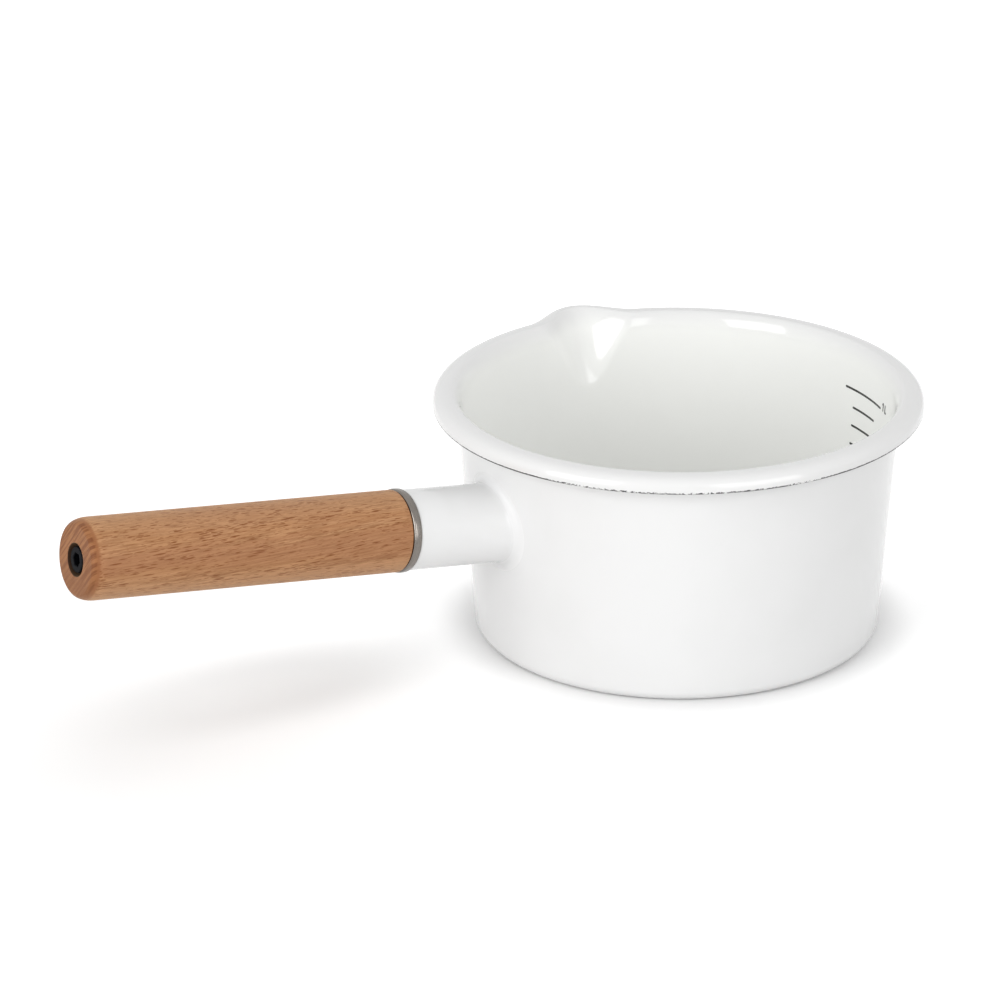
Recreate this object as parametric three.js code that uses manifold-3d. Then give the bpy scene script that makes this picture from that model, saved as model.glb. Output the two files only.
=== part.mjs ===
// Enamelled steel saucepan with a pouring spout and a beech handle held by one long screw.
// Millimetres, +Z up. The origin is the centre of the flat base on the surface that the pan stands on.
// The handle runs along -X and rises outwards. The spout opens near +Y.
import * as THREE from "three";
import { mergeVertices } from "three/addons/utils/BufferGeometryUtils.js";
import Module from "manifold-3d";

const wasm = await Module();
wasm.setup();

// Pan
const PAN_HEIGHT = 83.35; // standing surface to the rim's highest line
const BASE_RADIUS = 67.2; // outer face of the wall, carried down to the standing surface
const WALL_TAPER = 4.5; // degrees that the wall leans outwards
const SHEET = 1.5; // steel with its enamel
const BASE_CORNER = 4; // outer radius of the bend between base and wall
const RIM_BEND = 3.27; // inside wall turning over to the rim's crest, across
const RIM_BEND_HEIGHT = 7; // and upwards
const RIM_REACH = 6.1; // from the crest out to the cut edge
const RIM_DROP = 4.6; // from the crest down to the cut edge

// Pouring spout, pressed out of the wall and rim
const SPOUT_ANGLE = 97.4; // degrees from the handle, clockwise seen from above
const SPOUT_REACH = 8; // how far the cut edge is pushed out
const SPOUT_CREST_REACH = 10.5; // and the crest, where the rim narrows
const SPOUT_DEPTH = 23; // from the crest down to the groove's lower end
const SPOUT_HALF_WIDTH = 17.5; // at the crest
const SPOUT_LIP_SPREAD = 4.5; // added to it at the cut edge
const SPOUT_ROOT_HALF_WIDTH = 4; // at the groove's lower end

// Handle as a whole
const HANDLE_HEIGHT = 41.5; // where the handle's axis crosses the pan's axis
const HANDLE_TILT = 7.5; // degrees that the handle rises outwards
const HANDLE_RADIUS = 13.1; // outside of the enamelled stem
const CLEARANCE = 0.3; // between pieces that meet

// Stem, a tube fixed to the wall
const STEM_LENGTH = 34.2; // along the axis, wall to mouth
const STEM_WALL = 1.5;
const ROOT_FILLET = 3;

// Threaded plate inside the stem
const PLATE_GAP = 3; // from the grip's spigot to the plate
const PLATE_THICKNESS = 2;
const THREAD_LENGTH = 5; // plate and boss together
const BOSS_RADIUS = 4.5;

// Steel ring between stem and grip
const RING_WIDTH = 2.6;
const RING_STEP = 0.55; // stands proud of the stem
const RING_ROUND = 0.9;

// Beech grip
const GRIP_LENGTH = 114;
const GRIP_STEP = 0.25; // stands proud of the stem at the ring
const GRIP_TAPER = 0.25; // radius lost on the way to the end
const GRIP_END_ROUND = 2.2; // rounded end, across the axis
const GRIP_END_ROUND_LENGTH = 5.1; // rounded end, along the axis
const SPIGOT_DEPTH = 12; // length inside the stem

// Clamp screw and its captive washer
const SHANK_RADIUS = 2.5;
const SCREW_TIP = 1; // past the threaded boss
const HEAD_RADIUS = 4.25;
const HEAD_HEIGHT = 5;
const HEAD_RECESS = 0.8; // below the grip's end
const SOCKET_FLATS = 4;
const SOCKET_DEPTH = 2.6;
const WASHER_RADIUS = 5;
const WASHER_THICKNESS = 1;

// Small broken edges, and how finely round forms are cut
const EDGE = 0.4;
const PAN_SEGMENTS = 96;
const HANDLE_SEGMENTS = 48;
const SMALL_SEGMENTS = 32;
const SPOUT_CROWDING = 0.6; // share by which the pan's segments close up at the spout
const SPOUT_STEPS = 6; // up the wall
const BEND_STEPS = 3; // round the base's corner and the ring
const FLARE_STEPS = 5; // up the rim's bend, across the rim, the stem's fillet and the grip's end

const taper = THREE.MathUtils.degToRad(WALL_TAPER);
const wallSlope = Math.tan(taper);
const tilt = THREE.MathUtils.degToRad(HANDLE_TILT);
const spoutDirection = Math.PI - THREE.MathUtils.degToRad(SPOUT_ANGLE);

// Points of an ellipse's arc, angles in radians, both ends included.
function arc(x, y, rx, ry, from, to, steps) {
  return new THREE.EllipseCurve(x, y, rx, ry, from, to, to < from).getPoints(steps);
}

function point(radius, z) {
  return new THREE.Vector2(radius, z);
}

// A profile of (radius, height) turned about Z, with its seam welded.
// A profile that keeps off the axis is closed on itself.
function turn(profile, segments) {
  const first = profile[0];
  const outline = first.x > 0 ? [...profile, first.clone()] : profile;
  const geometry = new THREE.LatheGeometry(outline, segments).rotateX(Math.PI / 2);
  geometry.deleteAttribute("normal");
  geometry.deleteAttribute("uv");
  return mergeVertices(geometry);
}

function solid(geometry) {
  const bare = geometry.clone();
  bare.deleteAttribute("normal");
  bare.deleteAttribute("uv");
  const welded = mergeVertices(bare);
  return new wasm.Manifold(
    new wasm.Mesh({
      numProp: 3,
      vertProperties: new Float32Array(welded.getAttribute("position").array),
      triVerts: new Uint32Array(welded.index.array),
    }),
  );
}

function subtract(geometry, tool) {
  const mesh = solid(geometry).subtract(solid(tool)).getMesh();
  const cut = new THREE.BufferGeometry();
  cut.setAttribute("position", new THREE.BufferAttribute(mesh.vertProperties, 3));
  cut.setIndex(new THREE.BufferAttribute(mesh.triVerts, 1));
  return cut;
}

function piece(name, geometry, look) {
  geometry.computeVertexNormals();
  const mesh = new THREE.Mesh(geometry, new THREE.MeshStandardMaterial(look));
  mesh.name = name;
  return mesh;
}

const ENAMEL = { color: 0xf3f3f1, roughness: 0.12, metalness: 0 };
const BEECH = { color: 0xbd8b61, roughness: 0.55, metalness: 0 };
const STAINLESS = { color: 0xb4b0ab, roughness: 0.28, metalness: 1 };
const PLAIN_STEEL = { color: 0x9a9b9c, roughness: 0.45, metalness: 1 };
const BLACK_STEEL = { color: 0x1d1f22, roughness: 0.4, metalness: 0.8 };

// Outer face of the pan's wall at a height.
function wallRadius(z) {
  return BASE_RADIUS + wallSlope * z;
}

// The rim's crest stands where the bend over the inside wall reaches its top.
const bendHeight = PAN_HEIGHT - RIM_BEND_HEIGHT;
const crestRadius = wallRadius(bendHeight) + Math.hypot(RIM_BEND - SHEET, wallSlope * (RIM_BEND_HEIGHT - SHEET));
const spoutRoot = PAN_HEIGHT - SPOUT_DEPTH;

// One face of the sheet from the axis to the rim's cut edge, at a depth below the outer face.
function sheetFace(depth) {
  const cornerRadius = wallRadius(BASE_CORNER) - BASE_CORNER / Math.cos(taper);
  const corner = BASE_CORNER - depth;
  const bendRise = RIM_BEND_HEIGHT - SHEET + depth;
  const bend = Math.sqrt((crestRadius - wallRadius(bendHeight) + depth / Math.cos(taper)) ** 2 - (wallSlope * bendRise) ** 2);
  const bendStart = Math.PI - Math.atan2(wallSlope * bendRise, bend);
  const reach = RIM_REACH - SHEET + depth;
  const drop = RIM_DROP - SHEET + depth;
  const wall = [];
  for (let step = 0; step < SPOUT_STEPS; step += 1) {
    const z = THREE.MathUtils.lerp(spoutRoot, bendHeight, step / SPOUT_STEPS);
    wall.push(point(wallRadius(z) - depth / Math.cos(taper), z));
  }
  const quarter = Math.PI / 2;
  return [
    point(0, depth),
    ...arc(cornerRadius, BASE_CORNER, corner, corner, -quarter, -taper, BEND_STEPS),
    ...wall,
    ...arc(crestRadius, bendHeight, bend, bendRise, bendStart, quarter, FLARE_STEPS),
    ...arc(crestRadius, PAN_HEIGHT - RIM_DROP, reach, drop, quarter, 0, FLARE_STEPS).slice(1),
  ];
}

// Pushes the wall and rim outwards to a groove that widens upwards, and closes up the segments there.
function pressSpout(geometry) {
  const position = geometry.getAttribute("position");
  const vertex = new THREE.Vector3();
  for (let i = 0; i < position.count; i += 1) {
    vertex.fromBufferAttribute(position, i);
    const radius = Math.hypot(vertex.x, vertex.y);
    const even = Math.atan2(vertex.y, vertex.x);
    const angle = even - SPOUT_CROWDING * Math.sin(even);
    const climb = (vertex.z - spoutRoot) / (PAN_HEIGHT - SHEET - spoutRoot);
    const rise = radius >= crestRadius ? 1 : THREE.MathUtils.clamp(climb, 0, 1);
    const toLip = THREE.MathUtils.clamp((radius - crestRadius) / RIM_REACH, 0, 1);
    const reach = THREE.MathUtils.lerp(SPOUT_CREST_REACH, SPOUT_REACH, toLip);
    const halfWidth = THREE.MathUtils.lerp(SPOUT_ROOT_HALF_WIDTH, SPOUT_HALF_WIDTH, rise) + SPOUT_LIP_SPREAD * toLip;
    const across = Math.min(Math.abs(radius * angle) / halfWidth, 1);
    const push = reach * rise * Math.cos((across * Math.PI) / 2) ** 2;
    position.setX(i, (radius + push) * Math.cos(angle + spoutDirection));
    position.setY(i, (radius + push) * Math.sin(angle + spoutDirection));
  }
  return geometry;
}

function panBody() {
  const profile = [...sheetFace(0), ...sheetFace(SHEET).reverse()];
  return piece("pan_body", pressSpout(turn(profile, PAN_SEGMENTS)), ENAMEL);
}

// In the handle's own frame Z runs outwards along its axis, X points up and Y across.
// Distance along Z, at a place (x, y) off the axis, where the pan's wall and its clearance end.
function wallDistance(x, y) {
  const across = x * Math.sin(tilt);
  const foot = BASE_RADIUS + CLEARANCE / Math.cos(taper) + wallSlope * (HANDLE_HEIGHT + x * Math.cos(tilt));
  const a = Math.cos(tilt) ** 2 - (wallSlope * Math.sin(tilt)) ** 2;
  const b = across * Math.cos(tilt) + foot * wallSlope * Math.sin(tilt);
  const c = across ** 2 + y ** 2 - foot ** 2;
  return (b + Math.sqrt(b * b - a * c)) / a;
}

// Stations along the handle, each from the one before it.
const stemMouth = wallDistance(0, 0) + STEM_LENGTH;
const ringStart = stemMouth + CLEARANCE;
const gripStart = ringStart + RING_WIDTH + CLEARANCE;
const gripEnd = gripStart + GRIP_LENGTH;
const spigotEnd = stemMouth - SPIGOT_DEPTH;
const plateFace = spigotEnd - PLATE_GAP;
const bossEnd = plateFace - THREAD_LENGTH;
const headTop = gripEnd - HEAD_RECESS;
const headSeat = headTop - HEAD_HEIGHT;
const washerSeat = headSeat - CLEARANCE - WASHER_THICKNESS;
const counterboreFloor = washerSeat - CLEARANCE;

const stemBore = HANDLE_RADIUS - STEM_WALL;
const spigotRadius = stemBore - CLEARANCE;
const screwBore = SHANK_RADIUS + CLEARANCE;

// A tube whose root follows the curved wall, with a fillet all round.
function handleStem() {
  const foot = HANDLE_RADIUS + ROOT_FILLET;
  const quarter = Math.PI / 2;
  const profile = [
    point(stemBore, 0),
    ...arc(foot, ROOT_FILLET, ROOT_FILLET, ROOT_FILLET, -quarter, -2 * quarter, FLARE_STEPS),
    point(HANDLE_RADIUS, stemMouth - EDGE),
    point(HANDLE_RADIUS - EDGE, stemMouth),
    point(stemBore, stemMouth),
  ];
  const geometry = turn(profile, HANDLE_SEGMENTS);
  const position = geometry.getAttribute("position");
  for (let i = 0; i < position.count; i += 1) {
    const z = position.getZ(i);
    const isRoot = z < stemMouth / 2;
    if (isRoot) {
      position.setZ(i, z + wallDistance(position.getX(i), position.getY(i)));
    }
  }
  return piece("handle_stem", geometry, ENAMEL);
}

function threadedPlate() {
  const radius = stemBore - CLEARANCE;
  const profile = [
    point(screwBore, bossEnd),
    point(BOSS_RADIUS, bossEnd),
    point(BOSS_RADIUS, plateFace - PLATE_THICKNESS),
    point(radius, plateFace - PLATE_THICKNESS),
    point(radius, plateFace),
    point(screwBore, plateFace),
  ];
  return piece("threaded_plate", turn(profile, SMALL_SEGMENTS), PLAIN_STEEL);
}

function steelRing() {
  const outer = HANDLE_RADIUS + RING_STEP;
  const inner = spigotRadius + CLEARANCE;
  const end = ringStart + RING_WIDTH;
  const middle = outer - RING_ROUND;
  const quarter = Math.PI / 2;
  const profile = [
    point(inner, ringStart),
    ...arc(middle, ringStart + RING_ROUND, RING_ROUND, RING_ROUND, -quarter, 0, BEND_STEPS),
    ...arc(middle, end - RING_ROUND, RING_ROUND, RING_ROUND, 0, quarter, BEND_STEPS),
    point(inner, end),
  ];
  return piece("steel_ring", turn(profile, HANDLE_SEGMENTS), STAINLESS);
}

// Turned beech: a spigot through the ring into the stem, a rounded end and a stepped bore for the screw.
function woodGrip() {
  const start = HANDLE_RADIUS + GRIP_STEP;
  const tail = start - GRIP_TAPER;
  const counterbore = Math.max(HEAD_RADIUS, WASHER_RADIUS) + CLEARANCE;
  const flat = tail - GRIP_END_ROUND;
  const roundStart = gripEnd - GRIP_END_ROUND_LENGTH;
  const profile = [
    point(screwBore, spigotEnd),
    point(spigotRadius - EDGE, spigotEnd),
    point(spigotRadius, spigotEnd + EDGE),
    point(spigotRadius, gripStart),
    point(start - EDGE, gripStart),
    point(start, gripStart + EDGE),
    ...arc(flat, roundStart, GRIP_END_ROUND, GRIP_END_ROUND_LENGTH, 0, Math.PI / 2, FLARE_STEPS),
    point(counterbore + EDGE, gripEnd),
    point(counterbore, gripEnd - EDGE),
    point(counterbore, counterboreFloor),
    point(screwBore, counterboreFloor),
  ];
  return piece("wood_grip", turn(profile, HANDLE_SEGMENTS), BEECH);
}

function screwWasher() {
  const profile = [
    point(screwBore, washerSeat),
    point(WASHER_RADIUS, washerSeat),
    point(WASHER_RADIUS, washerSeat + WASHER_THICKNESS),
    point(screwBore, washerSeat + WASHER_THICKNESS),
  ];
  return piece("screw_washer", turn(profile, SMALL_SEGMENTS), PLAIN_STEEL);
}

function clampScrew() {
  const tip = bossEnd - SCREW_TIP;
  const profile = [
    point(0, tip),
    point(SHANK_RADIUS - EDGE, tip),
    point(SHANK_RADIUS, tip + EDGE),
    point(SHANK_RADIUS, headSeat),
    point(HEAD_RADIUS, headSeat),
    point(HEAD_RADIUS, headTop - EDGE),
    point(HEAD_RADIUS - EDGE, headTop),
    point(0, headTop),
  ];
  const corners = SOCKET_FLATS / 2 / Math.cos(Math.PI / 6);
  const socket = new THREE.CylinderGeometry(corners, corners, 2 * SOCKET_DEPTH, 6).rotateX(Math.PI / 2);
  socket.rotateZ(Math.PI / 2);
  socket.translate(0, 0, headTop);
  return piece("clamp_screw", subtract(turn(profile, SMALL_SEGMENTS), socket), BLACK_STEEL);
}

const handle = new THREE.Group();
handle.position.z = HANDLE_HEIGHT;
handle.rotation.y = tilt - Math.PI / 2;
handle.add(handleStem(), threadedPlate(), steelRing(), woodGrip(), screwWasher(), clampScrew());

const saucepan = new THREE.Group();
saucepan.add(panBody(), handle);

export default saucepan;
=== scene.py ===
import math

import bpy
import numpy as np
from mathutils import Matrix, Vector


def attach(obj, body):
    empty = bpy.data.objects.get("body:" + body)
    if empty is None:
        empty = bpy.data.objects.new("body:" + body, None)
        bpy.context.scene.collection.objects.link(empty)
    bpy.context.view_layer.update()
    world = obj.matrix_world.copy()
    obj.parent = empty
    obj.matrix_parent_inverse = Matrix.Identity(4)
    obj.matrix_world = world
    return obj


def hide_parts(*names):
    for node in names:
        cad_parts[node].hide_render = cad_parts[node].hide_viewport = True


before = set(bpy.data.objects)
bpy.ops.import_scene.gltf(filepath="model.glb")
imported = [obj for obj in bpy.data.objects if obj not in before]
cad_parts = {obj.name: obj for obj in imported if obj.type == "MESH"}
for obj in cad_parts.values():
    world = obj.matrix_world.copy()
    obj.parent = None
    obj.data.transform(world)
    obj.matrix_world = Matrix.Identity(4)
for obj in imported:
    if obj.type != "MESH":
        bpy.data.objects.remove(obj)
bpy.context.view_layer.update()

# Sizes in millimetres and degrees, as in the part's source: pan, handle, screw.
PAN_HEIGHT = 83.35
BASE_RADIUS = 67.2
WALL_TAPER = 4.5
SHEET = 1.5
BASE_CORNER = 4.0
RIM_BEND = 3.27
RIM_BEND_HEIGHT = 7.0
RIM_REACH = 6.1
RIM_DROP = 4.6
SPOUT_ANGLE = 97.4
SPOUT_REACH = 8.0
SPOUT_DEPTH = 23.0
SPOUT_HALF_WIDTH = 17.5
SPOUT_ROOT_HALF_WIDTH = 4.0
SPOUT_LIP_SPREAD = 4.5
SPOUT_CREST_REACH = 10.5

HANDLE_HEIGHT = 41.5
HANDLE_TILT = 7.5
HANDLE_RADIUS = 13.1
CLEARANCE = 0.3
STEM_LENGTH = 34.2
STEM_WALL = 1.5
ROOT_FILLET = 3.0
PLATE_GAP = 3.0
PLATE_THICKNESS = 2.0
THREAD_LENGTH = 5.0
BOSS_RADIUS = 4.5
RING_WIDTH = 2.6
RING_STEP = 0.55
RING_ROUND = 0.9
GRIP_LENGTH = 114.0
GRIP_STEP = 0.25
GRIP_TAPER = 0.25
GRIP_END_ROUND = 2.2
GRIP_END_ROUND_LENGTH = 5.1
SPIGOT_DEPTH = 12.0
EDGE = 0.4

SHANK_RADIUS = 2.5
SCREW_TIP = 1.0
HEAD_RADIUS = 4.25
HEAD_HEIGHT = 5.0
HEAD_RECESS = 0.8
SOCKET_FLATS = 4.0
SOCKET_DEPTH = 2.6
WASHER_RADIUS = 5.0
WASHER_THICKNESS = 1.0

# What only the looks need, in the same units: pan, litre marks, handle, screw.
SPOUT_CROWDING = 0.6
SPOUT_SOFTNESS = 0.07
SPOUT_MARGIN = 3.0
RIM_SQUARENESS = 2.7
DOTTED_TURN = -123.0
DOTTED_STRETCHES = 3.0

TOP_MARK = 68.2
MARK_CENTRE = -5.5
LONG_MARK = 9.7
SHORT_MARK = 5.9
MARK_WIDTH = 0.75
FIGURE_TURN = -17.0
UNIT_TURN = -18.6
FIGURE_WIDTH = 0.8
FIGURE_HEIGHT = 3.0
FIGURE_DROP = 0.3
FLAG_START = (0.9, -0.9)
FLAG_END = (0.1, -0.2)
FLAG_WIDTH = 0.64
UNIT_FOOT = 1.4
INK_FILM = 0.04
BLUNT_END = 0.15

ROOT_SINK = 0.15
ROOT_HEM = 0.5
ROOT_FEATHER = 0.2
PLATE_WELD = 0.8
RING_REACH = 0.27
MOUTH_EDGE = 0.12
GRAIN_CLIMB = 0.09
STRIPE_SLANT = 39.7
BAND_WANDER = 14.0
LATHE_LINES = 9.0

THREAD_PITCH = 0.8
THREAD_DEPTH = 0.45
THREADED_END = 22.0
THREAD_RUNOUT = 2.0
THREAD_LEAD = 1.2
THREAD_LEAD_DEPTH = 0.4
GROOVE_STRETCH = 1.3
GROOVE_CREST = 0.15
TIP_CHAMFER = 0.3
TIP_TAPER = 0.75
TIP_TAPER_LENGTH = 1.0
SHANK_MARGIN = 0.5
NECK = 0.3
HEAD_PROUD = 0.45
HEAD_CHAMFER = 0.25
KNURLS = 48
KNURL_DEPTH = 0.1
KNURL_FADE = 0.9
KNURL_STOP = 0.75
SOCKET_CHAMFER = 0.22
SOCKET_CHAMFER_DEPTH = 0.2
SOCKET_POINT = 0.7
WASHER_ROUND = 0.25
WASHER_CHAMFER = 0.1

# Fineness of the meshes.
PAN_SEGMENTS = 440
STEM_SEGMENTS = 160
GRIP_SEGMENTS = 192
HIDDEN_SEGMENTS = 96
SCREW_SEGMENTS = 144
THREAD_STEPS = 8
LIP_STEPS = 20
MARK_POINTS = 49
FIGURE_POINTS = 17

# Camera of the photograph, about the pan's axis, with the handle's direction taken off.
PHOTO_TURN = -32.83
CAMERA_BACK = 1541.57
CAMERA_UP = 672.84
CAMERA_YAW = -0.038276
CAMERA_PITCH = 0.387728
CAMERA_ROLL = -0.005998
CAMERA_LENS = 180.0
CAMERA_SENSOR = 36.0
CAMERA_CLIP = (0.05, 100.0)
PHOTO_AZIMUTH = -90 + PHOTO_TURN

# Light and floor, in metres.
AMBIENT = 0.485
PAN_MIDDLE = Vector((0, 0, 0.05))
SOFTBOX_DISTANCE = 1.3
FLOOR_HALF_SIZE = 20.0
FLOOR_GAP = 0.0002
FLOOR_SEEN = 1.0
FLOOR_BOUNCE = 0.72
LIFT = 0.09
LIFT_BEHIND = 0.32
LIFT_BEHIND_FROM = (-0.08, 0.2)
LIFT_AROUND = 0.1
LIFT_AROUND_FROM = (0.1, 0.22)
# Painted shadows on the floor: where the lift is withheld round the base and under the handle.
BASE_PAINTED_SHADOW = (0.066, 0.083)
HANDLE_PAINTED_SHADOW = (-0.148, 0.024, 0)
HANDLE_PAINTED_SHADOW_REACH = (0.086, 0.036)
HANDLE_PAINTED_SHADOW_EDGE = (0.35, 1.0)

# Colours, as linear light.
WHITE = (1, 1, 1, 1)
ENAMEL_OUTSIDE = ((0.798, 0.799, 0.797, 1), (0.814, 0.815, 0.814, 1))
# Painted shade on the rim's top, and painted light with a faint warm tint on the pan's inside.
RIM_PAINTED_SHADE = (0.784, 0.784, 0.781, 1)
INSIDE_PAINTED_LIGHT = (0.915, 0.920, 0.900, 1)
BARE_EDGE = (0.038, 0.038, 0.040, 1)
INK = ((0.012, 0.012, 0.012, 1), (0.040, 0.040, 0.038, 1))
FIBRE = ((0.243, 0.096, 0.029, 1), (0.532, 0.282, 0.133, 1))
STREAK = (0.440, 0.210, 0.088, 1)
WARM_WOOD = (0.365, 0.158, 0.072, 1)
# A dark band that is partly the wood's own streak and partly painted shade, and painted light on
# the grip's top and underside.
WOOD_BAND_AND_PAINTED_SHADE = (0.330, 0.135, 0.060, 1)
PAINTED_LIGHT_BANDS = (0.600, 0.335, 0.175, 1)
PORE = (0.27, 0.115, 0.046, 1)
FLECK = (0.190, 0.053, 0.009, 1)
END_STRIPE = ((0.165, 0.047, 0.011, 1), (0.315, 0.128, 0.045, 1))
END_PAINTED_SHADE = (0.180, 0.060, 0.018, 1)
END_CORNER = (0.270, 0.098, 0.034, 1)
# Painted shade inside the drilled holes of the grip.
HOLE_PAINTED_SHADE = (0.030, 0.013, 0.006, 1)
OIL_SHEEN = (1.0, 0.70, 0.42, 1)
BLACK_OXIDE = ((0.002, 0.002, 0.003, 1), (0.007, 0.007, 0.009, 1))
STAINLESS = ((0.155, 0.138, 0.123, 1), (0.30, 0.278, 0.255, 1))
ZINC_PLATE = ((0.27, 0.27, 0.28, 1), (0.42, 0.42, 0.43, 1))
ZINC_WASHER = ((0.28, 0.28, 0.29, 1), (0.40, 0.40, 0.41, 1))

# Roughness of the enamel, and what the weld and the bare edge add to it.
ENAMEL_ROUGHNESS = (0.055, 0.075)
WELD_ROUGHNESS = 0.40
BARE_ROUGHNESS = 0.3

MM = 0.001
TINY = 1e-6
taper = math.radians(WALL_TAPER)
tilt = math.radians(HANDLE_TILT)
slope = math.tan(taper)
spout_direction = math.pi - math.radians(SPOUT_ANGLE)
bend_height = PAN_HEIGHT - RIM_BEND_HEIGHT
lip_height = PAN_HEIGHT - RIM_DROP
spout_root = PAN_HEIGHT - SPOUT_DEPTH


def wall_radius(z):
    """Outer face of the pan's wall at a height."""
    return BASE_RADIUS + slope * z


def face_radius(z, depth=SHEET):
    """A face of the pan's wall at a depth below the outer one: the inside, if none is given."""
    return wall_radius(z) - depth / math.cos(taper)


crest_radius = wall_radius(bend_height) + math.hypot(
    RIM_BEND - SHEET, slope * (RIM_BEND_HEIGHT - SHEET)
)


def wall_distance(x, y, clearance=0.0):
    """Distance along the handle's axis, at a place off it, where the pan's wall ends."""
    across = x * math.sin(tilt)
    height = HANDLE_HEIGHT + x * math.cos(tilt)
    foot = BASE_RADIUS + clearance / math.cos(taper) + slope * height
    a = math.cos(tilt) ** 2 - (slope * math.sin(tilt)) ** 2
    b = across * math.cos(tilt) + foot * slope * math.sin(tilt)
    c = across**2 + y**2 - foot**2
    return (b + np.sqrt(b * b - a * c)) / a


# Places along the handle's axis, and radii about it.
stem_mouth = float(wall_distance(0.0, 0.0, CLEARANCE)) + STEM_LENGTH
ring_start = stem_mouth + CLEARANCE
ring_end = ring_start + RING_WIDTH
grip_start = ring_end + CLEARANCE
grip_end = grip_start + GRIP_LENGTH
spigot_end = stem_mouth - SPIGOT_DEPTH
plate_face = spigot_end - PLATE_GAP
boss_end = plate_face - THREAD_LENGTH
head_top = grip_end - HEAD_RECESS
head_seat = head_top - HEAD_HEIGHT
washer_seat = head_seat - CLEARANCE - WASHER_THICKNESS
counterbore_floor = washer_seat - CLEARANCE
stem_bore = HANDLE_RADIUS - STEM_WALL
spigot_radius = stem_bore - CLEARANCE
screw_bore = SHANK_RADIUS + CLEARANCE
counterbore = WASHER_RADIUS + CLEARANCE


# Profiles and meshes


def arc(x, y, rx, ry, start, end, steps):
    """Points of an ellipse's arc, angles in degrees, both ends included."""
    a = np.radians(np.linspace(start, end, steps + 1))
    return np.column_stack((x + rx * np.cos(a), y + ry * np.sin(a)))


def shoulder(x, y, rx, ry, steps):
    """A quarter of an ellipse from its top to its side, squarer than a true one."""
    a = np.linspace(math.pi / 2, 0, steps + 1)
    power = 2 / RIM_SQUARENESS
    across, up = np.cos(a).clip(0) ** power, np.sin(a).clip(0) ** power
    return np.column_stack((x + rx * across, y + ry * up))


def line(start, end, steps):
    """Points of a straight run, both ends included."""
    return np.linspace(start, end, steps + 1)


def path(*parts):
    """Runs of (radius, height) points as one profile, without doubled points."""
    points = np.vstack([np.atleast_2d(np.asarray(p, float)) for p in parts])
    keep = np.ones(len(points), bool)
    keep[1:] = np.linalg.norm(np.diff(points, axis=0), axis=1) > TINY
    return points[keep]


def evenly_round(segments):
    """Angles of a full turn, the first not repeated."""
    return np.linspace(0, 2 * math.pi, segments, endpoint=False)


def ring(radius, angle, z):
    """A row of points round Z at a height, where the radius may change with the angle."""
    return np.column_stack((radius * np.cos(angle), radius * np.sin(angle), z + 0 * angle))


def axis_point(z):
    """A row of one point on the Z axis."""
    return np.array([[0.0, 0.0, z]])


def turned(profile, segments):
    """A profile turned about Z: one row of points per profile point."""
    around = evenly_round(segments)
    return [ring(radius, around, z) for radius, z in profile]


def in_handle(rows):
    """Rows in the handle's own frame, X up and Z outwards, placed in the row frame."""
    placed = []
    for x, y, z in (r.T for r in rows):
        back = x * math.sin(tilt) - z * math.cos(tilt)
        up = HANDLE_HEIGHT + x * math.cos(tilt) + z * math.sin(tilt)
        placed.append(np.column_stack((back, y, up)))
    return placed


def faces_between(a_start, a_count, b_start, b_count):
    """Faces that join one row of points to the next, round and round."""
    count = max(a_count, b_count)
    pairs = [(p, (p + 1) % count) for p in range(count)]
    if a_count == 1:
        return [(a_start, b_start + q, b_start + p) for p, q in pairs]
    if b_count == 1:
        return [(a_start + p, a_start + q, b_start) for p, q in pairs]
    return [(a_start + p, a_start + q, b_start + q, b_start + p) for p, q in pairs]


def finished(name, vertices, faces, sharp):
    """A mesh object from points in millimetres, faces outwards, smooth but for sharp edges."""
    vertices = np.asarray(vertices, float)
    fans = [(f[0], f[k], f[k + 1]) for f in faces for k in range(1, len(f) - 1)]
    a, b, c = (vertices[i] for i in np.array(fans).T)
    if np.sum(a * np.cross(b, c)) < 0:
        faces = [tuple(reversed(f)) for f in faces]
    mesh = bpy.data.meshes.new(name)
    mesh.from_pydata((vertices * MM).tolist(), [], faces)
    mesh.validate()
    mesh.polygons.foreach_set("use_smooth", np.ones(len(mesh.polygons), bool))
    mesh.set_sharp_from_angle(angle=math.radians(sharp))
    mesh.update()
    piece = bpy.data.objects.new(name, mesh)
    bpy.context.scene.collection.objects.link(piece)
    return piece


def skinned(name, rows, sharp=35.0):
    """A closed piece from rows of points, which ends on the axis or runs back to its first row."""
    starts = np.cumsum([0] + [len(r) for r in rows]).tolist()
    pairs = list(zip(range(len(rows) - 1), range(1, len(rows))))
    if len(rows[0]) > 1:
        pairs.append((len(rows) - 1, 0))
    faces = []
    for a, b in pairs:
        faces += faces_between(starts[a], len(rows[a]), starts[b], len(rows[b]))
    return finished(name, np.vstack(rows), faces, sharp)


# Pan


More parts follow.
